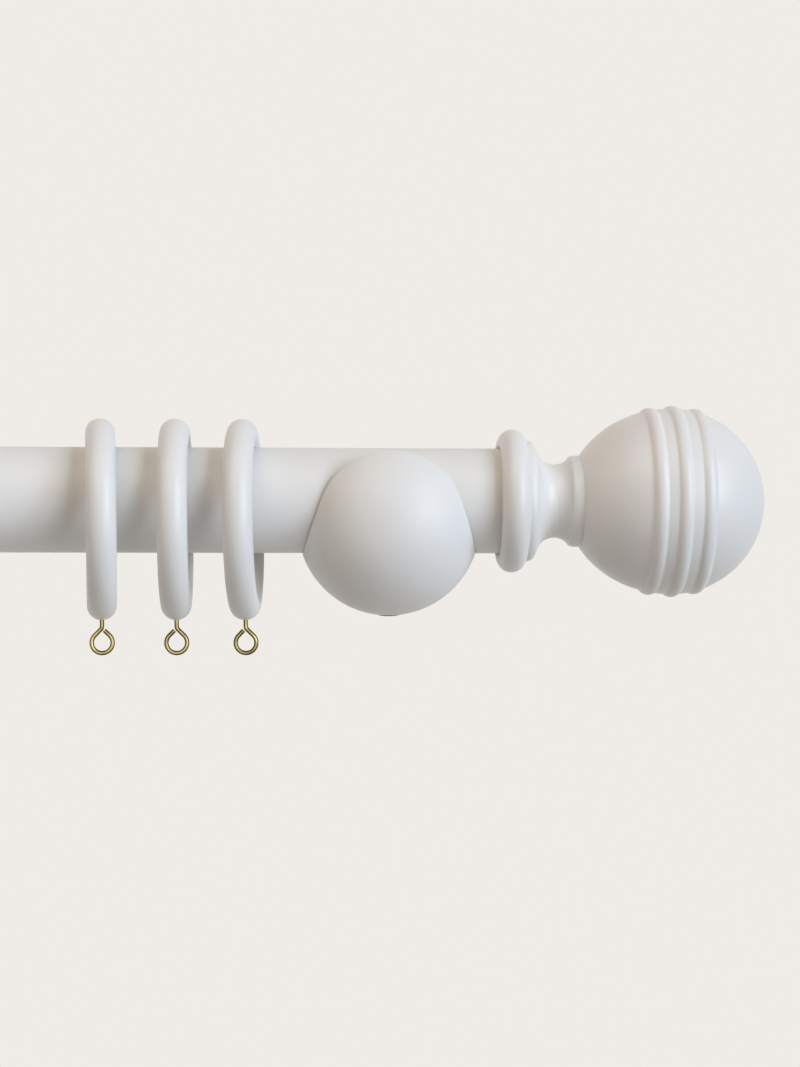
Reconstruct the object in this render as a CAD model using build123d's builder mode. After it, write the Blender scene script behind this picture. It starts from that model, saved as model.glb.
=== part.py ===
"""Turned wooden curtain pole on two cup brackets, with ball finials, rings and wire screw eyes.

Millimetres. +X runs along the pole, +Z is up, the wall is the plane y = 0 and the room is towards -Y.
The origin is the middle of the rectangle of wall-screw holes, at the height of the bracket arms.
"""
import os
from math import asin, cos, degrees, radians, sin, sqrt, tan

from build123d import *

os.makedirs("parts", exist_ok=True)

# Pole
POLE_DIAMETER = 50.0
POLE_LENGTH = 1200.0
POLE_END_CHAMFER = 1.0

# Bracket cup: a ball with an open saddle for the pole
PROJECTION = 95.0           # wall to pole axis
CUP_WALL = 17.4             # ball beyond the straight sides of the saddle, in front and behind
CUP_DROP = 11.2             # ball centre below the pole axis
SADDLE_CLEARANCE = 1.0      # saddle wider than the pole, on each side
SADDLE_REST_GAP = 0.3       # saddle below the pole
SADDLE_EASING = 0.4         # rounding of the saddle's lip
CUP_SEAT_DIAMETER = 32.0    # flat at the back of the ball, where the arm is seated

# Bracket arm: turned, with a tenon at each end
ARM_NECK_DIAMETER = 27.0    # beside the bead
ARM_BEAD_RISE = 3.4         # bead above that neck
ARM_BEAD_WIDTH = 7.0
ARM_WAIST_DIAMETER = 22.0
ARM_END_DIAMETER = 30.0     # shoulder against the ball
CUP_TENON_DIAMETER = 16.0
CUP_TENON_LENGTH = 11.0
ROSE_TENON_DIAMETER = 22.0
TENON_CLEARANCE = 0.05
TENON_END_GAP = 0.5

# Wall rose: turned disc that hides the wall plate
ROSE_DIAMETER = 74.0
ROSE_RIM = 16.0             # straight edge
ROSE_OVOLO = 3.5            # quarter round above the edge
ROSE_STEP = 2.0
ROSE_COVE = 3.5             # hollow moulding up to the hub
PLATE_CLEARANCE = 0.3
SCREW_HEAD_ROOM = 3.6       # space over the wall plate for the heads of the wall screws

# Wall plate: steel disc with a grooved boss
PLATE_DIAMETER = 46.0
PLATE_THICKNESS = 2.6
BOSS_DIAMETER = 12.0
BOSS_LENGTH = 12.85         # beyond the plate
BOSS_CLEARANCE = 0.1
BOSS_CHAMFER = 0.8
GROOVE_DEPTH = 0.8
GROOVE_MARGIN = 0.3         # groove wider than the grub screw, on each side
WALL_HOLE_DIAMETER = 5.2
WALL_HOLE_SPACING = 28.0

# Grub screw and its threaded insert, under the rose
GRUB_FROM_WALL = 11.05      # wall to the axis of the grub screw
GRUB_DIAMETER = 5.0
GRUB_LENGTH = 18.0
GRUB_SOCKET_WIDTH = 2.5     # across the flats of its hexagon
GRUB_SOCKET_DEPTH = 2.5
GRUB_POINT = 0.8
INSERT_DIAMETER = 8.0
INSERT_LENGTH = 12.0
SCREW_CLEARANCE = 0.05

# Screw up through the cup into the pole
POLE_SCREW_DIAMETER = 4.5
POLE_SCREW_HEAD_DIAMETER = 10.4
POLE_SCREW_HEAD_EDGE = 1.0
POLE_SCREW_HEAD_DOME = 0.6
POLE_SCREW_SEAT_DEPTH = 0.9  # counterbore, measured where its edge cuts the ball
POLE_SCREW_BITE = 14.0       # length in the pole
POLE_SCREW_POINT = 4.0

# Finial, along its axis from the face of its collar
FINIAL_GAP = 8.5            # cup to collar
SOCKET_DEPTH = 10.0
SOCKET_CLEARANCE = 1.0
SOCKET_EASING = 1.2         # rounding of the socket's mouth
COLLAR_LIP = 1.5            # face of the collar, from the socket to the bead
COLLAR_BEAD = 13.2
STEP_WALL = 3.8             # pole surface to the step beside the collar
STEP_FLAT = 0.5             # level part of the step
STEP_ROUND = 4.1
OGEE_SLOPE = 67.0           # steepest slope between step and neck, in degrees
NECK_COVE = 9.0             # radius of the hollow from that slope to the neck
NECK_DIAMETER = 34.9        # thinnest place
NECK_FLARE = 6.6            # thinnest place to the bead
FLARE_RISE = 3.1            # thinnest place to the end of the flare, in radius
NECK_BEAD = 7.4
NECK_BEAD_RISE = 1.3
NECK_BEAD_CUT = 62.0        # angle of the bead at which the ball begins
BALL_DIAMETER = 88.8
BALL_STRETCH = 6.0          # the ball is this much longer than round on its inner side
RIB_COUNT = 3
RIB_PITCH = 10.9
RIB_WIDTH = 6.3
RIB_HEIGHT = 1.4
RIB_EASING = 1.0            # fillet at the foot of each rib

# Dowel screw between pole and finial
DOWEL_DIAMETER = 8.0
DOWEL_BITE = 35.0           # length in each piece
DOWEL_POINT = 5.0
DOWEL_CLEARANCE = 0.05
DOWEL_END_GAP = 1.0

# Rings, numbered from the bracket inwards
RING_BORE = 68.9
RING_SECTION = 13.2         # bore to outside
RING_WIDTH = 13.9           # along the pole
RING_REST_GAP = 0.3
RING_FROM_CUP = (25.3, 57.5, 92.7, 164.6, 241.6)
RING_YAW = (2.8, -0.7, -5.3, -2.0, 1.5)
RING_TILT = (1.1, 0.6, 0.7, 0.5, 0.8)

# Screw eyes: one bent wire each
EYE_WIRE = 2.1
EYE_LOOP_DIAMETER = 11.9    # outside
EYE_BEND_RADIUS = 2.6
EYE_LEG_ANGLE = 45.0
EYE_NECK = 3.8              # underside of the ring to the corner where the wire turns out
EYE_BITE = 9.0
EYE_POINT = 1.8
EYE_POINT_FLAT = 0.3        # radius left at the tip
EYE_GAP = 0.4               # free end to the wire beside it
EYE_CLEARANCE = 0.05
EYE_FACING = (1, 1, -1, 1, -1)  # side to which the wire turns out, +1 towards the bracket

SIDES = {"left": -1, "right": 1}

# Worked-out places
pole_radius = POLE_DIAMETER / 2
saddle_radius = pole_radius + SADDLE_CLEARANCE
cup_radius = saddle_radius + CUP_WALL
pole_y = -PROJECTION
pole_z = CUP_DROP
saddle_z = pole_z + SADDLE_CLEARANCE - SADDLE_REST_GAP
half_pole = POLE_LENGTH / 2
collar_x = half_pole - SOCKET_DEPTH
bracket_x = collar_x - FINIAL_GAP - cup_radius

cup_seat = PROJECTION - sqrt(cup_radius**2 - (CUP_SEAT_DIAMETER / 2) ** 2)
rose_thickness = ROSE_RIM + ROSE_OVOLO + ROSE_COVE
recess_depth = PLATE_THICKNESS + SCREW_HEAD_ROOM
insert_hole = INSERT_DIAMETER / 2 + SCREW_CLEARANCE
groove_half = GRUB_DIAMETER / 2 + GROOVE_MARGIN
boss_end = PLATE_THICKNESS + BOSS_LENGTH
grub_tip = BOSS_DIAMETER / 2 - GROOVE_DEPTH + SCREW_CLEARANCE
grub_end = grub_tip + GRUB_LENGTH
insert_top = ROSE_TENON_DIAMETER / 2 + 2 * TENON_CLEARANCE

ball_radius = BALL_DIAMETER / 2
ball_inner_length = ball_radius + BALL_STRETCH

ring_radius = RING_BORE / 2 + RING_SECTION / 2
ring_outside = RING_BORE / 2 + RING_SECTION
ring_z = pole_z + pole_radius + RING_REST_GAP - RING_BORE / 2
loop_radius = (EYE_LOOP_DIAMETER - EYE_WIRE) / 2
eye_apex = loop_radius / sin(radians(EYE_LEG_ANGLE))


def keep(builder, name):
    """Label a finished piece and write it."""
    builder.part.label = name
    export_step(builder.part, f"parts/{name}.step")


def pole_plane(side):
    """Plane through the pole axis: local x runs outwards from the collar face, local y is up."""
    origin = (side * collar_x, pole_y, pole_z)
    return Plane(origin=origin, x_dir=(side, 0, 0), z_dir=(0, -side, 0))


def bracket_plane(side):
    """Plane through the arm's axis: local x runs out from the wall, local y is up."""
    return Plane(origin=(side * bracket_x, 0, 0), x_dir=(0, -1, 0), z_dir=(-1, 0, 0))


def turning_axis(plane):
    """The lathe axis of a profile drawn on this plane."""
    return Axis(plane.origin, plane.x_dir)


def level_plane(side, y, z):
    """Level plane at a bracket, facing up."""
    return Plane(origin=(side * bracket_x, y, z))


# Pole

with BuildPart() as pole:
    with BuildSketch(Plane(origin=(-half_pole, pole_y, pole_z), z_dir=(1, 0, 0))):
        Circle(pole_radius)
    extrude(amount=POLE_LENGTH)
    chamfer(pole.edges().filter_by(GeomType.CIRCLE), POLE_END_CHAMFER)
    for side in SIDES.values():
        with BuildSketch(Plane(origin=(side * half_pole, pole_y, pole_z), z_dir=(-side, 0, 0))):
            Circle(DOWEL_DIAMETER / 2 + DOWEL_CLEARANCE)
        extrude(amount=DOWEL_BITE + DOWEL_END_GAP, mode=Mode.SUBTRACT)
        with BuildSketch(level_plane(side, pole_y, pole_z - pole_radius)):
            Circle(POLE_SCREW_DIAMETER / 2 + SCREW_CLEARANCE)
        extrude(amount=POLE_SCREW_BITE + SCREW_CLEARANCE, mode=Mode.SUBTRACT)
keep(pole, "pole")


# Finials

def ball_radius_at(distance):
    """Radius of the plain ball at a distance from its widest place, outwards positive."""
    length = ball_radius if distance > 0 else ball_inner_length
    return ball_radius * sqrt(1 - (distance / length) ** 2)


def make_finial(name, side):
    """Turned finial: beaded collar with a socket, ogee, hollow neck, small bead and ribbed ball."""
    plane = pole_plane(side)
    bead = COLLAR_BEAD / 2
    socket_radius = pole_radius + SOCKET_CLEARANCE
    bead_centre = socket_radius + COLLAR_LIP
    step_radius = pole_radius + STEP_WALL
    bead_foot = degrees(asin((step_radius - bead_centre) / bead))
    slope = radians(OGEE_SLOPE)
    neck_radius = NECK_DIAMETER / 2
    ogee_drop = step_radius - neck_radius
    ogee_run = (ogee_drop - (STEP_ROUND + NECK_COVE) * (1 - cos(slope))) / tan(slope)
    round_x = bead * (1 + cos(radians(bead_foot))) + STEP_FLAT
    neck_x = round_x + (STEP_ROUND + NECK_COVE) * sin(slope) + ogee_run
    flare_x = neck_x + NECK_FLARE
    flare_radius = neck_radius + FLARE_RISE
    bead_end = flare_x + NECK_BEAD / 2 * (1 + cos(radians(NECK_BEAD_CUT)))
    start_radius = flare_radius + NECK_BEAD_RISE * sin(radians(NECK_BEAD_CUT))
    start_angle = degrees(asin(start_radius / ball_radius))
    ball_x = bead_end + ball_inner_length * cos(radians(start_angle))
    rib_radius = ((RIB_WIDTH / 2) ** 2 + RIB_HEIGHT**2) / (2 * RIB_HEIGHT)
    with BuildPart() as finial:
        with BuildSketch(plane):
            with BuildLine():
                Line((0, 0), (0, bead_centre))
                collar = CenterArc((bead, bead_centre), bead, 180, bead_foot - 180)
                Line(collar @ 1, (round_x, step_radius))
                step = CenterArc((round_x, step_radius - STEP_ROUND), STEP_ROUND, 90, -OGEE_SLOPE)
                cove = CenterArc((neck_x, neck_radius + NECK_COVE), NECK_COVE, 270 - OGEE_SLOPE, OGEE_SLOPE)
                Line(step @ 1, cove @ 0)
                TangentArc((neck_x, neck_radius), (flare_x, flare_radius), tangent=(1, 0))
                EllipticalCenterArc(
                    (flare_x + NECK_BEAD / 2, flare_radius),
                    NECK_BEAD / 2,
                    NECK_BEAD_RISE,
                    180,
                    arc_size=NECK_BEAD_CUT - 180,
                )
                EllipticalCenterArc(
                    (ball_x, 0),
                    ball_inner_length,
                    ball_radius,
                    90,
                    arc_size=90 - start_angle,
                )
                CenterArc((ball_x, 0), ball_radius, 90, -90)
                Line((ball_x + ball_radius, 0), (0, 0))
            make_face()
            for index in range(RIB_COUNT):
                offset = (index - (RIB_COUNT - 1) / 2) * RIB_PITCH
                with Locations((ball_x + offset, ball_radius_at(offset) + RIB_HEIGHT - rib_radius)):
                    Circle(rib_radius)
        revolve(axis=turning_axis(plane))
        circles = finial.edges().filter_by(GeomType.CIRCLE)
        lowest_foot = ball_radius_at(RIB_COUNT / 2 * RIB_PITCH)
        highest_foot = ball_radius_at(RIB_EASING)
        fillet(circles.filter_by(lambda edge: lowest_foot < edge.radius < highest_foot), RIB_EASING)
        socket_face = Plane(origin=plane.origin, z_dir=plane.x_dir)
        with BuildSketch(socket_face):
            Circle(socket_radius)
        extrude(amount=SOCKET_DEPTH, mode=Mode.SUBTRACT)
        mouth = finial.faces().filter_by(GeomType.PLANE).sort_by(Axis.X)[-1 if side < 0 else 0]
        fillet(mouth.inner_wires()[0].edges(), SOCKET_EASING)
        with BuildSketch(socket_face.offset(SOCKET_DEPTH)):
            Circle(DOWEL_DIAMETER / 2 + DOWEL_CLEARANCE)
        extrude(amount=DOWEL_BITE + DOWEL_END_GAP, mode=Mode.SUBTRACT)
    keep(finial, name)


def make_dowel_screw(name, side):
    """Headless screw with a point at each end, half in the pole and half in the finial."""
    plane = pole_plane(side)
    first = SOCKET_DEPTH - DOWEL_BITE
    last = SOCKET_DEPTH + DOWEL_BITE
    radius = DOWEL_DIAMETER / 2
    with BuildPart() as dowel:
        with BuildSketch(plane):
            with BuildLine():
                Polyline(
                    (first, 0),
                    (first + DOWEL_POINT, radius),
                    (last - DOWEL_POINT, radius),
                    (last, 0),
                    close=True,
                )
            make_face()
        revolve(axis=turning_axis(plane))
    keep(dowel, name)


# Brackets

def make_cup(name, side):
    """Ball with a U-shaped saddle, a flat and a socket for the arm, and a counterbored screw hole."""
    centre = (side * bracket_x, pole_y, 0)
    edge_z = -sqrt(cup_radius**2 - (POLE_SCREW_HEAD_DIAMETER / 2) ** 2)
    seat_z = edge_z + POLE_SCREW_SEAT_DEPTH
    with BuildPart(Plane(origin=centre)) as cup:
        Sphere(cup_radius)
        split(bisect_by=Plane(origin=(side * bracket_x, -cup_seat, 0), z_dir=(0, -1, 0)), keep=Keep.TOP)
        with BuildSketch(Plane(origin=(side * bracket_x, pole_y, saddle_z), x_dir=(0, 1, 0), z_dir=(1, 0, 0))):
            Circle(saddle_radius)
            with Locations((0, cup_radius / 2)):
                Rectangle(2 * saddle_radius, cup_radius)
        extrude(amount=cup_radius, both=True, mode=Mode.SUBTRACT)
        ball_edges = cup.faces().filter_by(GeomType.SPHERE).edges()
        lip = ball_edges.filter_by(lambda edge: edge.center().Z > edge_z / 2)
        seat_edges = lip.filter_by(lambda edge: edge.center().Y > -cup_seat - SADDLE_CLEARANCE)
        fillet([edge for edge in lip if edge not in seat_edges], SADDLE_EASING)
        with BuildSketch(Plane(origin=(side * bracket_x, -cup_seat, 0), z_dir=(0, -1, 0))):
            Circle(CUP_TENON_DIAMETER / 2 + TENON_CLEARANCE)
        extrude(amount=CUP_TENON_LENGTH + TENON_END_GAP, mode=Mode.SUBTRACT)
        with BuildSketch(level_plane(side, pole_y, -cup_radius)):
            Circle(POLE_SCREW_DIAMETER / 2 + SCREW_CLEARANCE)
        extrude(amount=cup_radius, mode=Mode.SUBTRACT)
        with BuildSketch(level_plane(side, pole_y, seat_z)):
            Circle(POLE_SCREW_HEAD_DIAMETER / 2 + SCREW_CLEARANCE)
        extrude(amount=-cup_radius, mode=Mode.SUBTRACT)
    keep(cup, name)


def make_pole_screw(name, side):
    """Domed wood screw under the cup; its head stands a little proud of the ball."""
    edge_z = -sqrt(cup_radius**2 - (POLE_SCREW_HEAD_DIAMETER / 2) ** 2)
    seat_z = edge_z + POLE_SCREW_SEAT_DEPTH
    rim_z = seat_z - POLE_SCREW_HEAD_EDGE
    tip_z = pole_z - pole_radius + POLE_SCREW_BITE
    shank = POLE_SCREW_DIAMETER / 2
    head = POLE_SCREW_HEAD_DIAMETER / 2
    plane = Plane(origin=(side * bracket_x, pole_y, 0), x_dir=(1, 0, 0), z_dir=(0, -1, 0))
    with BuildPart() as screw:
        with BuildSketch(plane):
            with BuildLine():
                Polyline(
                    (0, tip_z),
                    (shank, tip_z - POLE_SCREW_POINT),
                    (shank, seat_z),
                    (head, seat_z),
                    (head, rim_z),
                )
                TangentArc((0, rim_z - POLE_SCREW_HEAD_DOME), (head, rim_z), tangent=(1, 0))
                Line((0, rim_z - POLE_SCREW_HEAD_DOME), (0, tip_z))
            make_face()
        revolve(axis=Axis(plane.origin, (0, 0, 1)))
    keep(screw, name)


def make_arm(name, side):
    """Turned arm: bead against the rose, hollow waist, shoulder against the cup and two tenons."""
    plane = bracket_plane(side)
    bead_end = rose_thickness + ARM_BEAD_WIDTH
    waist_x = (bead_end + cup_seat) / 2
    with BuildPart() as arm:
        with BuildSketch(plane):
            with BuildLine():
                Polyline(
                    (recess_depth, 0),
                    (recess_depth, ROSE_TENON_DIAMETER / 2),
                    (rose_thickness, ROSE_TENON_DIAMETER / 2),
                    (rose_thickness, ARM_NECK_DIAMETER / 2),
                )
                EllipticalCenterArc(
                    (rose_thickness + ARM_BEAD_WIDTH / 2, ARM_NECK_DIAMETER / 2),
                    ARM_BEAD_WIDTH / 2,
                    ARM_BEAD_RISE,
                    180,
                    arc_size=-180,
                )
                ThreePointArc(
                    (bead_end, ARM_NECK_DIAMETER / 2),
                    (waist_x, ARM_WAIST_DIAMETER / 2),
                    (cup_seat, ARM_END_DIAMETER / 2),
                )
                Polyline(
                    (cup_seat, ARM_END_DIAMETER / 2),
                    (cup_seat, CUP_TENON_DIAMETER / 2),
                    (cup_seat + CUP_TENON_LENGTH, CUP_TENON_DIAMETER / 2),
                    (cup_seat + CUP_TENON_LENGTH, 0),
                    (recess_depth, 0),
                )
            make_face()
        revolve(axis=turning_axis(plane))
        with BuildSketch(Plane(origin=(side * bracket_x, -recess_depth, 0), z_dir=(0, -1, 0))):
            Circle(BOSS_DIAMETER / 2 + BOSS_CLEARANCE)
        extrude(amount=boss_end - recess_depth + TENON_END_GAP, mode=Mode.SUBTRACT)
        with BuildSketch(level_plane(side, -GRUB_FROM_WALL, 0)):
            Circle(GRUB_DIAMETER / 2 + SCREW_CLEARANCE)
        extrude(amount=-ROSE_TENON_DIAMETER, mode=Mode.SUBTRACT)
    keep(arm, name)


def make_rose(name, side):
    """Turned rose: moulded front, recess behind for the wall plate, bore for the arm, insert hole below."""
    plane = bracket_plane(side)
    rim = ROSE_DIAMETER / 2
    ovolo_top = ROSE_RIM + ROSE_OVOLO
    ovolo_foot = rim - ROSE_OVOLO
    cove_foot = ovolo_foot - ROSE_STEP
    bore = ROSE_TENON_DIAMETER / 2 + TENON_CLEARANCE
    recess = PLATE_DIAMETER / 2 + PLATE_CLEARANCE
    with BuildPart() as rose:
        with BuildSketch(plane):
            with BuildLine():
                Polyline((0, recess), (0, rim), (ROSE_RIM, rim))
                CenterArc((ROSE_RIM, ovolo_foot), ROSE_OVOLO, 90, -90)
                Line((ovolo_top, ovolo_foot), (ovolo_top, cove_foot))
                CenterArc((rose_thickness, cove_foot), ROSE_COVE, 180, 90)
                Polyline(
                    (rose_thickness, cove_foot - ROSE_COVE),
                    (rose_thickness, bore),
                    (recess_depth, bore),
                    (recess_depth, recess),
                    (0, recess),
                )
            make_face()
        revolve(axis=turning_axis(plane))
        with BuildSketch(level_plane(side, -GRUB_FROM_WALL, -insert_top)):
            Circle(insert_hole)
        extrude(amount=-rim, mode=Mode.SUBTRACT)
        with BuildSketch(level_plane(side, -GRUB_FROM_WALL, 0)):
            Circle(GRUB_DIAMETER / 2 + SCREW_CLEARANCE)
        extrude(amount=-rim, mode=Mode.SUBTRACT)
    keep(rose, name)


def make_wall_plate(name, side):
    """Steel disc with two wall-screw holes and a grooved boss that enters the arm."""
    plane = bracket_plane(side)
    boss = BOSS_DIAMETER / 2
    with BuildPart() as plate:
        with BuildSketch(plane):
            with BuildLine():
                Polyline(
                    (0, 0),
                    (0, PLATE_DIAMETER / 2),
                    (PLATE_THICKNESS, PLATE_DIAMETER / 2),
                    (PLATE_THICKNESS, boss),
                    (boss_end - BOSS_CHAMFER, boss),
                    (boss_end, boss - BOSS_CHAMFER),
                    (boss_end, 0),
                    close=True,
                )
            make_face()
            with Locations((GRUB_FROM_WALL, boss)):
                Rectangle(2 * groove_half, 2 * GROOVE_DEPTH, mode=Mode.SUBTRACT)
        revolve(axis=turning_axis(plane))
        with BuildSketch(Plane(origin=plane.origin, x_dir=(1, 0, 0), z_dir=(0, -1, 0))):
            with GridLocations(0, WALL_HOLE_SPACING, 1, 2):
                Circle(WALL_HOLE_DIAMETER / 2)
        extrude(amount=PLATE_THICKNESS, mode=Mode.SUBTRACT)
    keep(plate, name)


def make_grub_screw(name, side):
    """Headless screw, pointed at the boss, with a hexagon socket below."""
    with BuildPart() as grub:
        with BuildSketch(level_plane(side, -GRUB_FROM_WALL, -grub_tip)):
            Circle(GRUB_DIAMETER / 2)
        extrude(amount=-GRUB_LENGTH)
        chamfer(grub.edges().filter_by(GeomType.CIRCLE).sort_by(Axis.Z)[-1], GRUB_POINT)
        with BuildSketch(level_plane(side, -GRUB_FROM_WALL, -grub_end)):
            RegularPolygon(GRUB_SOCKET_WIDTH / 2, 6, major_radius=False)
        extrude(amount=GRUB_SOCKET_DEPTH, mode=Mode.SUBTRACT)
    keep(grub, name)


def make_insert(name, side):
    """Threaded sleeve let into the rose below the arm's tenon."""
    with BuildPart() as insert:
        with BuildSketch(level_plane(side, -GRUB_FROM_WALL, -insert_top - SCREW_CLEARANCE)):
            Circle(INSERT_DIAMETER / 2)
            Circle(GRUB_DIAMETER / 2 + SCREW_CLEARANCE, mode=Mode.SUBTRACT)
        extrude(amount=-INSERT_LENGTH)
    keep(insert, name)


# Rings and screw eyes

def ring_plane(side, index):
    """Plane at a ring's centre: local z is the ring's axis, local x points down to its eye."""
    centre = (side * (bracket_x - cup_radius - RING_FROM_CUP[index]), pole_y, ring_z)
    yaw = -side * RING_YAW[index]
    tilt = -side * RING_TILT[index]
    axis = Vector(1, 0, 0).rotate(Axis.Y, tilt).rotate(Axis.Z, yaw)
    down = Vector(0, 0, -1).rotate(Axis.Y, tilt).rotate(Axis.Z, yaw)
    return Plane(origin=centre, x_dir=down, z_dir=axis)


def make_ring(name, plane):
    """Turned ring of nearly round section, bored below for its screw eye."""
    with BuildPart() as ring:
        with BuildSketch(Plane(origin=plane.origin, x_dir=-plane.x_dir, z_dir=plane.y_dir)):
            with Locations((ring_radius, 0)):
                Ellipse(RING_SECTION / 2, RING_WIDTH / 2)
        revolve(axis=Axis(plane.origin, plane.z_dir))
        underside = plane.origin + plane.x_dir * ring_outside
        with BuildSketch(Plane(origin=underside, z_dir=-plane.x_dir)):
            Circle(EYE_WIRE / 2 + EYE_CLEARANCE)
        extrude(amount=EYE_BITE + EYE_CLEARANCE, mode=Mode.SUBTRACT)
    keep(ring, name)


def make_eye(name, plane, facing):
    """Screw eye of one bent wire: straight shank, bend, open loop and a free end close to the bend."""
    loop_centre = plane.origin + plane.x_dir * (ring_outside + EYE_NECK + eye_apex)
    eye_plane = Plane(origin=loop_centre, x_dir=plane.z_dir * facing, z_dir=-plane.y_dir * facing)
    bend_run = EYE_BEND_RADIUS * tan(radians(EYE_LEG_ANGLE / 2))
    leg = loop_radius / tan(radians(EYE_LEG_ANGLE))
    tail = leg - EYE_WIRE / 2 - EYE_GAP
    tail_run = (tail * sin(radians(EYE_LEG_ANGLE)), tail * cos(radians(EYE_LEG_ANGLE)))
    with BuildPart() as eye:
        with BuildLine(eye_plane) as wire:
            shank = Line((0, eye_apex + EYE_NECK + EYE_BITE), (0, eye_apex + bend_run))
            bend = JernArc(shank @ 1, shank % 1, EYE_BEND_RADIUS, EYE_LEG_ANGLE)
            loop = CenterArc((0, 0), loop_radius, EYE_LEG_ANGLE, -180 - 2 * EYE_LEG_ANGLE)
            Line(bend @ 1, loop @ 0)
            tail_start = eye_plane.to_local_coords(loop @ 1)
            Line(loop @ 1, (tail_start.X + tail_run[0], tail_start.Y + tail_run[1]))
        with BuildSketch(Plane(origin=shank @ 0, z_dir=shank % 0)):
            Circle(EYE_WIRE / 2)
        sweep(path=wire.line)
        tip = eye.edges().filter_by(GeomType.CIRCLE).sort_by(Axis.Z)[-1]
        chamfer(tip, EYE_POINT, EYE_WIRE / 2 - EYE_POINT_FLAT)
    keep(eye, name)


for side_name, side in SIDES.items():
    make_finial(f"finial_{side_name}", side)
    make_dowel_screw(f"finial_dowel_screw_{side_name}", side)
    make_cup(f"bracket_cup_{side_name}", side)
    make_pole_screw(f"pole_screw_{side_name}", side)
    make_arm(f"bracket_arm_{side_name}", side)
    make_rose(f"wall_rose_{side_name}", side)
    make_wall_plate(f"wall_plate_{side_name}", side)
    make_grub_screw(f"rose_grub_screw_{side_name}", side)
    make_insert(f"thread_insert_{side_name}", side)
    for index, facing in enumerate(EYE_FACING):
        plane = ring_plane(side, index)
        make_ring(f"ring_{side_name}_{index + 1}", plane)
        make_eye(f"screw_eye_{side_name}_{index + 1}", plane, side * facing)
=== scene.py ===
"""Looks of a turned, painted curtain pole on two cup brackets, with rings and brass screw eyes.

Metres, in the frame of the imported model: +X along the pole, +Z up, wall at y = 0, room towards -Y.
"""
import math

import bpy
from mathutils import Euler, Matrix, Vector


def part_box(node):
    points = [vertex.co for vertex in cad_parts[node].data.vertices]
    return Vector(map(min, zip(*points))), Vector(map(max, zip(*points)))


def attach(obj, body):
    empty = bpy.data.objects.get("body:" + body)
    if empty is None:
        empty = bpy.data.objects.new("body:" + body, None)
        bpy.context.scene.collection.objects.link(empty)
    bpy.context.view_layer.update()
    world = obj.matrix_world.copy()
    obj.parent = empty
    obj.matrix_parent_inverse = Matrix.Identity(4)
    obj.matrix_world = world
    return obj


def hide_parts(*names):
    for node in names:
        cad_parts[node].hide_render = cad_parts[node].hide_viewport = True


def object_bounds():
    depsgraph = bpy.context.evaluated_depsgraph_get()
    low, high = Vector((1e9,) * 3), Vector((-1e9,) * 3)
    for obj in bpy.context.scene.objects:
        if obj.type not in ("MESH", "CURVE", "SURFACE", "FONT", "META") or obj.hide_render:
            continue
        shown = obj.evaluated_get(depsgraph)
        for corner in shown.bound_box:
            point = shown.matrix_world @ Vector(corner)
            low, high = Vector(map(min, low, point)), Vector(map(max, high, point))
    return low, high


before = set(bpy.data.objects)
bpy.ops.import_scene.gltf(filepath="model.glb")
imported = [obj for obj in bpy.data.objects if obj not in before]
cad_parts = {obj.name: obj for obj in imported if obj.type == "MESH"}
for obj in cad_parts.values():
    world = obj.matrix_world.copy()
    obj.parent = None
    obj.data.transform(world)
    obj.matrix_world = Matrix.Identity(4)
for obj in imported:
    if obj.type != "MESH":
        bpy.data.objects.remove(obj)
cad_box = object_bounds()

# Camera, for a picture of 800 by 1067 pixels
PICTURE_WIDTH = 800
PICTURE_HEIGHT = 1067
FOCAL_PIXELS = 2104
SQUARE_PIXEL_X = 295        # column at which the view is square to the pole
CAMERA_DISTANCE = 1.0       # to the pole's axis
CAMERA_FROM_CUP = -0.0445   # along the pole, from the middle of the right-hand cup
CAMERA_BELOW_POLE = 0.0156
CAMERA_ROLL = 0.12          # degrees
SENSOR = 36.0               # millimetres, along the picture's long side

# Surroundings
BACKGROUND = (0.863, 0.838, 0.799)
BACK_GLOW = (0.55, 0.55, 0.55)      # light from behind the object, strongest square to it
FLOOR_DROP = 0.75           # below the lowest point of the object
FLOOR_RADIUS = 2.0
FLOOR_SOLID_RADIUS = 1.1    # from here to its rim the floor fades out
FLOOR_SEGMENTS = 96
FLOOR_COLOUR = (0.80, 0.78, 0.74)
FLOOR_ROUGHNESS = 0.9

# Soft lamps: azimuth from the room's side towards +X, elevation, strength, colour, softness in degrees
LAMPS = {
    "broad_key": (45, 10, 1.78, (0.86, 0.93, 1.0), 40),
    "high_key": (45, 35, 0.47, (0.83, 0.91, 1.0), 12),
    "side_key": (60, 30, 0.40, (0.56, 0.66, 1.0), 12),
    "low_key": (55, 10, 0.27, (0.56, 0.73, 1.0), 6),
    "top_fill": (-30, 50, 1.13, (1.0, 0.86, 0.68), 50),
    "left_fill": (-90, 20, 0.69, (1.0, 0.86, 0.82), 50),
}

# Pole, finely turned
POLE_SEGMENTS = 128
POLE_STATION = 0.008        # spacing of its cross-sections
POLE_CHAMFER = 0.001
POLE_WAVES = (              # length, height and phase of the waves that sanding leaves
    (0.23, 0.000012, 0.4),
    (0.071, 0.000008, 1.7),
    (0.029, 0.000005, 3.1),
)
SHARP_ANGLE = math.radians(30)

# Screw under a cup
SCREW_SEGMENTS = 96
HEAD_DOME = 0.0006
HEAD_EDGE = 0.001
SHANK_RADIUS = 0.00225
SCREW_POINT = 0.004
TIP_RADIUS = 0.0001
CROSS_HALF_WIDTH = 0.0006
CROSS_HALF_LENGTH = 0.0025
CROSS_DEPTH = 0.0019
CROSS_TAPER = 0.45          # floor of the recess, as a share of its mouth
DOME_STATIONS = (0.0, 0.33, 0.66, 0.95, 1.0)    # from the recess's mouth to the head's edge

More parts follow.
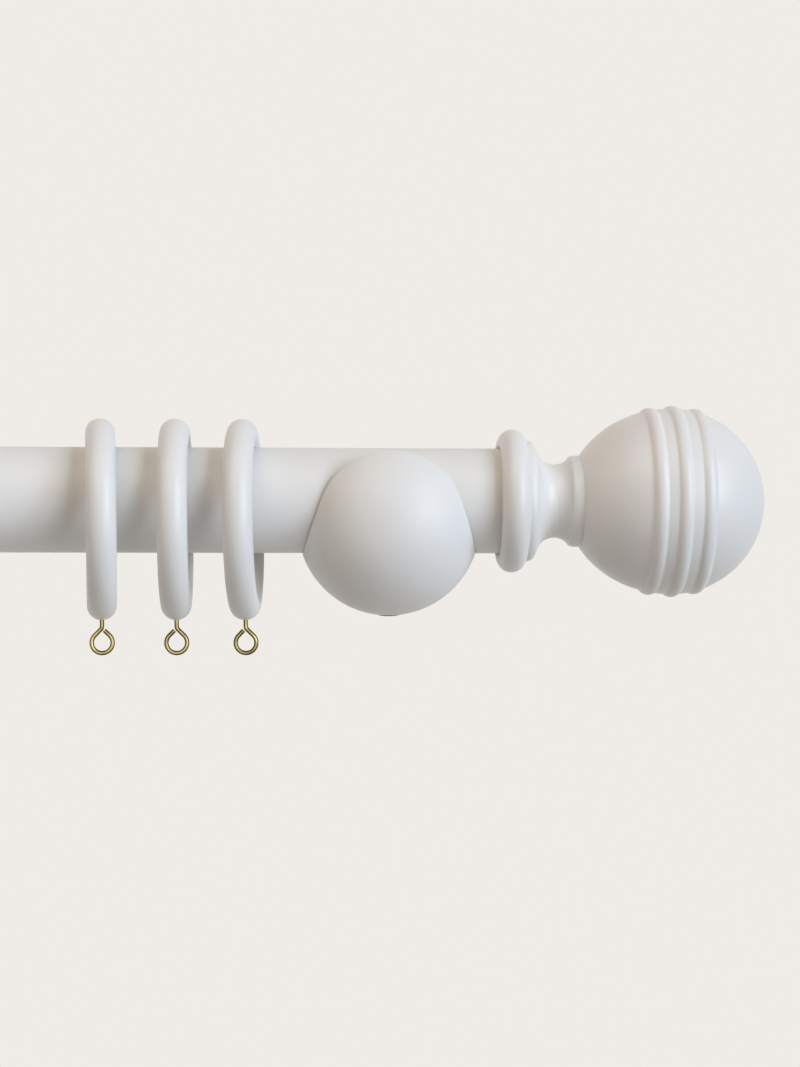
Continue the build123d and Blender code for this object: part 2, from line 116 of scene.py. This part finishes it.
# Paint; scales here and below are in marks per metre
PAINT_COLOUR = (0.80, 0.793, 0.775)
PAINT_SHADE = (0.775, 0.766, 0.747)
PAINT_SPECULAR = 0.4
TONE_SCALE = 22.0
TONE_DETAIL = 3.0
STROKE_DETAIL = 3.0
PEEL_SCALE = 620.0
PEEL_DETAIL = 2.0
PEEL_DEPTH = 0.00003
BUMP_STRENGTH = 0.5
PAINTS = {                  # scale of the strokes along X, Y and Z, their depth, and how rough the paint is
    "along_pole": ((9.0, 420.0, 420.0), 0.00003, (0.40, 0.50)),
    "round_pole": ((700.0, 30.0, 30.0), 0.00012, (0.28, 0.46)),
    "round_arm": ((30.0, 700.0, 30.0), 0.00006, (0.36, 0.50)),
    "on_cup": ((160.0, 160.0, 160.0), 0.00003, (0.40, 0.50)),
    "on_ring": ((160.0, 160.0, 160.0), 0.00003, (0.34, 0.44)),
}

# Bare wood on the back of a rose
WOOD_LIGHT = (0.64, 0.47, 0.29)
WOOD_DARK = (0.53, 0.365, 0.205)
WOOD_PORE = (0.34, 0.21, 0.11)
WOOD_ROUGHNESS = (0.62, 0.80)
GROWTH_SCALE = 170.0
GROWTH_STRETCH = (1.0, 1.0, 0.12)   # growth rings are drawn out along Z
GROWTH_UNEVEN = 5.0
WAVE_STEP = 20              # radians of a wave texture in a metre, at a scale of 1
PORE_SCALE = (1900.0, 1900.0, 90.0)
PORE_DETAIL = 2.0
PORE_REACH = (0.58, 0.74)   # from wood to pore, in the noise that makes the pores
BARE_MARGIN = 0.0004        # slack for telling bare faces from painted ones

# Metals
BRASS_COLOURS = ((0.92, 0.85, 0.48), (0.62, 0.50, 0.19))
STEEL_COLOURS = ((0.58, 0.585, 0.59), (0.47, 0.475, 0.485))
# near-black steel for the screw heads under the cups: painted shade, as dark as they look in the shade
# there
SHADE_DARK_COLOURS = ((0.05, 0.047, 0.044), (0.03, 0.028, 0.027))
METALS = {                  # two colours that mix, and how rough the metal is
    "polished_brass": (BRASS_COLOURS, (0.10, 0.24)),
    "brass_wire": (BRASS_COLOURS, (0.24, 0.36)),
    "plated_steel": (STEEL_COLOURS, (0.28, 0.45)),
    "shade_dark_steel": (SHADE_DARK_COLOURS, (0.35, 0.50)),
}
POLISH_SCALE = 900.0
POLISH_DETAIL = 3.0
STAIN_SCALE = 260.0
STAIN_DETAIL = 2.0
# Painted dark reflection along the inner and outer edge of the brass wire
PAINTED_REFLECTION_COLOUR = (0.105, 0.068, 0.013)
PAINTED_REFLECTION_REACH = (0.87, 1.06)    # how squarely a wire's surface faces the room, from painted dark reflection to bare brass
PAINTED_REFLECTION_SCALE = 170.0
PAINTED_REFLECTION_DETAIL = 1.0
PAINTED_REFLECTION_SPREAD = 0.16           # how much that shifts from place to place
TURNED_COLOURS = ((0.35, 0.355, 0.365), (0.52, 0.525, 0.53))
TURNED_ROUGHNESS = (0.20, 0.42)
TURNED_SCALE = 1500.0           # rings that turning leaves on a wall plate
TURNED_DETAIL = 3.0
TURNED_DEPTH = 0.00006


def add_node(tree, kind, **values):
    """A new shader node; values named after its inputs set those, the rest set its own properties."""
    node = tree.nodes.new(kind)
    for name, value in values.items():
        if name in node.inputs:
            node.inputs[name].default_value = value
        else:
            setattr(node, name, value)
    return node


def new_material(name, metallic=0.0):
    """A material with its node tree and its shader."""
    material = bpy.data.materials.new(name)
    material.use_nodes = True
    tree = material.node_tree
    shader = tree.nodes["Principled BSDF"]
    shader.inputs["Metallic"].default_value = metallic
    return material, tree, shader


def wear(piece, material):
    """Give a piece this one material."""
    piece.data.materials.clear()
    piece.data.materials.append(material)


def object_place(tree):
    """Place on the object, in metres."""
    return add_node(tree, "ShaderNodeTexCoord").outputs["Object"]


def stretched(tree, place, scale):
    """A place with its X, Y and Z multiplied by these."""
    mapping = add_node(tree, "ShaderNodeMapping", Scale=scale)
    tree.links.new(place, mapping.inputs["Vector"])
    return mapping.outputs["Vector"]


def noise(tree, place, detail, scale=1.0):
    """Noise over a place, from 0 to 1."""
    texture = add_node(tree, "ShaderNodeTexNoise", Scale=scale, Detail=detail)
    tree.links.new(place, texture.inputs["Vector"])
    return texture.outputs["Fac"]


def mix_colours(tree, factor, first, second):
    """Colour between two others, each a triple or another node's output."""
    mix = add_node(tree, "ShaderNodeMix", data_type="RGBA")
    tree.links.new(factor, mix.inputs["Factor"])
    for socket, colour in (("A", first), ("B", second)):
        if isinstance(colour, tuple):
            mix.inputs[socket].default_value = (*colour, 1)
        else:
            tree.links.new(colour, mix.inputs[socket])
    return mix.outputs["Result"]


def mix_over(tree, socket, factor, other):
    """Put another output over the one that feeds a shader's socket, by this factor."""
    mix = add_node(tree, "ShaderNodeMix", data_type="RGBA" if socket.type == "RGBA" else "FLOAT")
    tree.links.new(factor, mix.inputs["Factor"])
    tree.links.new(socket.links[0].from_socket, mix.inputs["A"])
    tree.links.new(other, mix.inputs["B"])
    tree.links.new(mix.outputs["Result"], socket)


def between(tree, value, low, high):
    """A value from 0 to 1 brought to between low and high."""
    spread = add_node(tree, "ShaderNodeMapRange")
    spread.inputs["To Min"].default_value = low
    spread.inputs["To Max"].default_value = high
    tree.links.new(value, spread.inputs["Value"])
    return spread.outputs["Result"]


def eased(tree, value, start, stop):
    """0 where a value is at start, 1 where it is at stop, with a smooth change between."""
    change = add_node(tree, "ShaderNodeMapRange", interpolation_type="SMOOTHSTEP")
    change.inputs["From Min"].default_value = start
    change.inputs["From Max"].default_value = stop
    tree.links.new(value, change.inputs["Value"])
    return change.outputs["Result"]


def math_node(tree, operation, first, second=None):
    """One sum on numbers or outputs."""
    node = add_node(tree, "ShaderNodeMath", operation=operation)
    for socket, value in zip(node.inputs, (first, second)):
        if isinstance(value, (int, float)):
            socket.default_value = value
        elif value is not None:
            tree.links.new(value, socket)
    return node.outputs["Value"]


def bumped(tree, height, depth, normal=None):
    """Normal of a surface with these heights on it, on top of another normal if there is one."""
    bump = add_node(tree, "ShaderNodeBump", Strength=BUMP_STRENGTH, Distance=depth)
    tree.links.new(height, bump.inputs["Height"])
    if normal is not None:
        tree.links.new(normal, bump.inputs["Normal"])
    return bump.outputs["Normal"]


def paint_material(kind):
    """Eggshell paint over turned wood, with faint brush marks and a fine stipple."""
    stroke_scale, stroke_depth, roughness = PAINTS[kind]
    material, tree, shader = new_material(f"paint_{kind}")
    link = tree.links.new
    place = object_place(tree)
    tone = noise(tree, place, TONE_DETAIL, TONE_SCALE)
    strokes = noise(tree, stretched(tree, place, stroke_scale), STROKE_DETAIL)
    peel = noise(tree, place, PEEL_DETAIL, PEEL_SCALE)
    brushed = bumped(tree, strokes, stroke_depth)
    link(mix_colours(tree, tone, PAINT_SHADE, PAINT_COLOUR), shader.inputs["Base Color"])
    link(between(tree, strokes, *roughness), shader.inputs["Roughness"])
    link(bumped(tree, peel, PEEL_DEPTH, brushed), shader.inputs["Normal"])
    shader.inputs["Specular IOR Level"].default_value = PAINT_SPECULAR
    return material


def separated_place(tree):
    """Place on the object, with its X, Y and Z apart."""
    parts = add_node(tree, "ShaderNodeSeparateXYZ")
    tree.links.new(object_place(tree), parts.inputs["Vector"])
    return parts


def rose_distance(tree, place):
    """Distance of a separated place from the axis of the nearer rose."""
    low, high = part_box("wall_plate_right")
    middle = (low + high) / 2
    across = math_node(tree, "SUBTRACT", math_node(tree, "ABSOLUTE", place.outputs["X"]), middle.x)
    up = math_node(tree, "SUBTRACT", place.outputs["Z"], middle.z)
    squares = [math_node(tree, "POWER", part, 2.0) for part in (across, up)]
    return math_node(tree, "SQRT", math_node(tree, "ADD", *squares))


def bare_wood_mask(tree):
    """1 on the wall face of a rose and in the recess behind it, 0 elsewhere."""
    plate_low, plate_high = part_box("wall_plate_right")
    recess_radius = (plate_high.x - plate_low.x) / 2 + BARE_MARGIN
    recess_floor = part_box("bracket_arm_right")[1].y - BARE_MARGIN
    place = separated_place(tree)
    inside = math_node(tree, "LESS_THAN", rose_distance(tree, place), recess_radius)
    deep = math_node(tree, "GREATER_THAN", place.outputs["Y"], recess_floor)
    back = math_node(tree, "GREATER_THAN", place.outputs["Y"], plate_high.y - BARE_MARGIN)
    return math_node(tree, "MAXIMUM", math_node(tree, "MULTIPLY", inside, deep), back)


def bare_wood(tree):
    """Colour and roughness of bare wood, with growth rings and pores along Z."""
    place = object_place(tree)
    rings = add_node(tree, "ShaderNodeTexWave", bands_direction="X", Distortion=GROWTH_UNEVEN)
    rings.inputs["Scale"].default_value = GROWTH_SCALE * 2 * math.pi / WAVE_STEP
    tree.links.new(stretched(tree, place, GROWTH_STRETCH), rings.inputs["Vector"])
    fibres = noise(tree, stretched(tree, place, PORE_SCALE), PORE_DETAIL)
    grain = mix_colours(tree, rings.outputs["Fac"], WOOD_DARK, WOOD_LIGHT)
    colour = mix_colours(tree, eased(tree, fibres, *PORE_REACH), grain, WOOD_PORE)
    return colour, between(tree, fibres, *WOOD_ROUGHNESS)


def rose_material():
    """Paint as on the arm, with the hidden back left as bare wood."""
    material = paint_material("round_arm")
    material.name = "paint_on_rose"
    tree = material.node_tree
    shader = tree.nodes["Principled BSDF"]
    bare = bare_wood_mask(tree)
    colour, roughness = bare_wood(tree)
    mix_over(tree, shader.inputs["Base Color"], bare, colour)
    mix_over(tree, shader.inputs["Roughness"], bare, roughness)
    return material


def metal_material(kind):
    """Metal with uneven polish and faint stains."""
    colours, roughness = METALS[kind]
    material, tree, shader = new_material(kind, metallic=1.0)
    place = object_place(tree)
    polish = noise(tree, place, POLISH_DETAIL, POLISH_SCALE)
    stain = noise(tree, place, STAIN_DETAIL, STAIN_SCALE)
    tree.links.new(between(tree, polish, *roughness), shader.inputs["Roughness"])
    tree.links.new(mix_colours(tree, stain, *colours), shader.inputs["Base Color"])
    return material


def brass_wire_material():
    """Brass wire, with a painted dark reflection along its inner and outer edge."""
    material = metal_material("brass_wire")
    tree = material.node_tree
    colour = tree.nodes["Principled BSDF"].inputs["Base Color"]
    brass_tone = colour.links[0].from_socket
    place = add_node(tree, "ShaderNodeTexCoord")
    facing = add_node(tree, "ShaderNodeSeparateXYZ")
    tree.links.new(place.outputs["Normal"], facing.inputs["Vector"])
    patches = noise(tree, place.outputs["Object"], PAINTED_REFLECTION_DETAIL, PAINTED_REFLECTION_SCALE)
    shift = between(tree, patches, -PAINTED_REFLECTION_SPREAD / 2, PAINTED_REFLECTION_SPREAD / 2)
    squarely = math_node(tree, "ADD", math_node(tree, "ABSOLUTE", facing.outputs["Y"]), shift)
    # painted dark reflection where the wire's surface turns away from the room
    brass_share = eased(tree, squarely, *PAINTED_REFLECTION_REACH)
    tree.links.new(mix_colours(tree, brass_share, PAINTED_REFLECTION_COLOUR, brass_tone), colour)
    return material


def turned_steel_material():
    """Plated steel with the fine rings that turning leaves round a wall plate's axis."""
    material, tree, shader = new_material("turned_steel", metallic=1.0)
    link = tree.links.new
    distance = rose_distance(tree, separated_place(tree))
    texture = add_node(tree, "ShaderNodeTexNoise", noise_dimensions="1D", Scale=1.0, Detail=TURNED_DETAIL)
    link(math_node(tree, "MULTIPLY", distance, TURNED_SCALE), texture.inputs["W"])
    marks = texture.outputs["Fac"]
    link(mix_colours(tree, marks, *TURNED_COLOURS), shader.inputs["Base Color"])
    link(between(tree, marks, *TURNED_ROUGHNESS), shader.inputs["Roughness"])
    link(bumped(tree, marks, TURNED_DEPTH), shader.inputs["Normal"])
    return material


def floor_material():
    """Pale floor that fades out with distance from its middle."""
    material, tree, shader = new_material("pale_floor")
    shader.inputs["Base Color"].default_value = (*FLOOR_COLOUR, 1)
    shader.inputs["Roughness"].default_value = FLOOR_ROUGHNESS
    away = add_node(tree, "ShaderNodeVectorMath", operation="LENGTH")
    tree.links.new(object_place(tree), away.inputs[0])
    solid = eased(tree, away.outputs["Value"], FLOOR_RADIUS, FLOOR_SOLID_RADIUS)
    tree.links.new(solid, shader.inputs["Alpha"])
    return material


def full_turn(count):
    """Directions all round a circle, evenly spaced."""
    return [2 * math.pi * step / count for step in range(count)]


def new_piece(name, vertices, faces):
    """An object made of these vertices and faces."""
    mesh = bpy.data.meshes.new(name)
    mesh.from_pydata(vertices, [], faces)
    piece = bpy.data.objects.new(name, mesh)
    bpy.context.scene.collection.objects.link(piece)
    return piece


def lofted_piece(name, rings):
    """A closed piece through rings of points, each with as many points as the others."""
    count = len(rings[0])
    vertices = [point for ring in rings for point in ring]
    faces = []
    for first in range(0, len(vertices) - count, count):
        for step in range(count):
            here = first + step
            beside = first + (step + 1) % count
            faces.append((here, beside, beside + count, here + count))
    faces.append(tuple(reversed(range(count))))
    faces.append(tuple(range(len(vertices) - count, len(vertices))))
    piece = new_piece(name, vertices, faces)
    piece.data.shade_smooth()
    piece.data.set_sharp_from_angle(angle=SHARP_ANGLE)
    return piece


def sanding_dip(along):
    """Depth of the sanding waves, this far along the pole."""
    return sum(
        height * (1 + math.sin(2 * math.pi * along / length + phase))
        for length, height, phase in POLE_WAVES
    )


def make_pole(material):
    """The pole, with the faint unevenness that sanding leaves."""
    low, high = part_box("pole")
    radius = (high.z - low.z) / 2
    length = high.x - low.x
    stations = round(length / POLE_STATION)
    profile = [(0, radius - POLE_CHAMFER)]
    for index in range(stations + 1):
        along = POLE_CHAMFER + (length - 2 * POLE_CHAMFER) * index / stations
        profile.append((along, radius - sanding_dip(along)))
    profile.append((length, radius - POLE_CHAMFER))
    start = Vector((low.x, (low.y + high.y) / 2, (low.z + high.z) / 2))
    turns = full_turn(POLE_SEGMENTS)
    rings = []
    for along, reach in profile:
        ring = [Vector((along, reach * math.sin(turn), reach * math.cos(turn))) for turn in turns]
        rings.append([start + point for point in ring])
    pole = lofted_piece("turned_pole", rings)
    wear(pole, material)
    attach(pole, "pole_and_brackets")
    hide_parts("pole")


def cross_turns():
    """Directions round a screw's axis, with one more at each end corner of the cross."""
    corner = math.atan2(CROSS_HALF_WIDTH, CROSS_HALF_LENGTH)
    turns = full_turn(SCREW_SEGMENTS)
    for quarter in full_turn(4):
        turns += [quarter + corner, quarter - corner]
    return sorted(turn % (2 * math.pi) for turn in turns)


def cross_reach(turn):
    """Distance from the middle of the cross to its outline, in this direction."""
    shorter, longer = sorted((abs(math.cos(turn)), abs(math.sin(turn))))
    if shorter * CROSS_HALF_LENGTH <= longer * CROSS_HALF_WIDTH:
        return CROSS_HALF_LENGTH / longer
    return CROSS_HALF_WIDTH / shorter


def screw_levels(turns, head, length):
    """Reaches and heights in each direction, from the recess's floor over the head to the point."""
    mouth = [cross_reach(turn) for turn in turns]
    floor = [CROSS_TAPER * reach for reach in mouth]
    levels = [(floor, [CROSS_DEPTH] * len(turns))]
    for station in DOME_STATIONS:
        reaches = [reach + (head - reach) * station for reach in mouth]
        levels.append((reaches, [HEAD_DOME * (reach / head) ** 2 for reach in reaches]))
    seat = HEAD_DOME + HEAD_EDGE
    taper = length - SCREW_POINT
    for reach, height in ((head, seat), (SHANK_RADIUS, seat), (SHANK_RADIUS, taper), (TIP_RADIUS, length)):
        levels.append(([reach] * len(turns), [height] * len(turns)))
    return levels


def make_pole_screw(side, material):
    """The screw under a cup, with a cross recess in its domed head."""
    low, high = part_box(f"pole_screw_{side}")
    start = Vector(((low.x + high.x) / 2, (low.y + high.y) / 2, low.z))
    turns = cross_turns()
    rings = []
    for reaches, heights in screw_levels(turns, (high.x - low.x) / 2, high.z - low.z):
        ring = []
        for turn, reach, height in zip(turns, reaches, heights):
            ring.append(start + Vector((reach * math.cos(turn), reach * math.sin(turn), height)))
        rings.append(ring)
    screw = lofted_piece(f"cross_head_screw_{side}", rings)
    wear(screw, material)
    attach(screw, "pole_and_brackets")
    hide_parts(f"pole_screw_{side}")


def make_floor():
    """Round floor well below the object."""
    low, high = cad_box
    rim = []
    for turn in full_turn(FLOOR_SEGMENTS):
        rim.append((FLOOR_RADIUS * math.cos(turn), FLOOR_RADIUS * math.sin(turn), 0))
    floor = new_piece("floor", rim, [range(FLOOR_SEGMENTS)])
    floor.location = ((low.x + high.x) / 2, (low.y + high.y) / 2, low.z - FLOOR_DROP)
    wear(floor, floor_material())


def make_world():
    """Plain background for camera, glossy and transmission rays, and a glow from behind for the rest."""
    world = bpy.data.worlds.new("studio")
    bpy.context.scene.world = world
    world.use_nodes = True
    tree = world.node_tree
    link = tree.links.new
    direction = add_node(tree, "ShaderNodeSeparateXYZ")
    link(add_node(tree, "ShaderNodeTexCoord").outputs["Generated"], direction.inputs["Vector"])
    glow = tree.nodes["Background"]
    glow.inputs["Color"].default_value = (*BACK_GLOW, 1)
    link(math_node(tree, "MAXIMUM", direction.outputs["Y"], 0.0), glow.inputs["Strength"])
    shown = add_node(tree, "ShaderNodeBackground", Color=(*BACKGROUND, 1))
    path = add_node(tree, "ShaderNodeLightPath")
    seen = math_node(tree, "MAXIMUM", path.outputs["Is Camera Ray"], path.outputs["Is Glossy Ray"])
    seen = math_node(tree, "MAXIMUM", seen, path.outputs["Is Transmission Ray"])
    mix = add_node(tree, "ShaderNodeMixShader")
    link(seen, mix.inputs["Fac"])
    link(glow.outputs["Background"], mix.inputs[1])
    link(shown.outputs["Background"], mix.inputs[2])
    link(mix.outputs["Shader"], tree.nodes["World Output"].inputs["Surface"])


def make_lamps():
    """Soft distant lamps, which light the whole length of the pole alike."""
    for name, (azimuth, elevation, strength, colour, softness) in LAMPS.items():
        data = bpy.data.lights.new(name, "SUN")
        data.energy = strength
        data.color = colour
        data.angle = math.radians(softness)
        lamp = bpy.data.objects.new(name, data)
        bpy.context.scene.collection.objects.link(lamp)
        turn = math.radians(azimuth)
        rise = math.radians(elevation)
        level = math.cos(rise)
        towards = Vector((math.sin(turn) * level, -math.cos(turn) * level, math.sin(rise)))
        lamp.rotation_euler = towards.to_track_quat("Z", "Y").to_euler()


def make_camera():
    """Camera a little below the pole's axis, turned a little towards the finial."""
    pole_low, pole_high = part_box("pole")
    cup_low, cup_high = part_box("bracket_cup_right")
    pole_axis = (pole_low + pole_high) / 2
    data = bpy.data.cameras.new("camera")
    data.sensor_width = SENSOR
    data.lens = FOCAL_PIXELS / PICTURE_HEIGHT * SENSOR
    camera = bpy.data.objects.new("camera", data)
    bpy.context.scene.collection.objects.link(camera)
    camera.location = (
        (cup_low.x + cup_high.x) / 2 + CAMERA_FROM_CUP,
        pole_axis.y - CAMERA_DISTANCE,
        pole_axis.z - CAMERA_BELOW_POLE,
    )
    turn = math.atan2(PICTURE_WIDTH / 2 - SQUARE_PIXEL_X, FOCAL_PIXELS)
    level = Euler((math.radians(90), 0, -turn)).to_matrix()
    roll = Matrix.Rotation(math.radians(CAMERA_ROLL), 3, "Z")
    camera.rotation_euler = (level @ roll).to_euler()
    bpy.context.scene.camera = camera


steel = metal_material("plated_steel")
shade_dark_steel = metal_material("shade_dark_steel")
pole_paint = paint_material("along_pole")
FINISHES = {                # a node takes the first whose key begins its name
    "finial_dowel_screw": steel,
    "finial": paint_material("round_pole"),
    "bracket_arm": paint_material("round_arm"),
    "bracket_cup": paint_material("on_cup"),
    "ring": paint_material("on_ring"),
    "wall_rose": rose_material(),
    # painted shade: near-black screw heads under the cups
    "pole_screw": shade_dark_steel,
    "pole": pole_paint,
    "screw_eye": brass_wire_material(),
    "thread_insert": metal_material("polished_brass"),
    "wall_plate": turned_steel_material(),
    "rose_grub_screw": steel,
}
for name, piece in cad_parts.items():
    wear(piece, next(finish for kind, finish in FINISHES.items() if name.startswith(kind)))

make_pole(pole_paint)
for side in ("left", "right"):
    make_pole_screw(side, shade_dark_steel)
make_floor()
make_world()
make_lamps()
make_camera()
bpy.context.scene.view_settings.view_transform = "Standard"
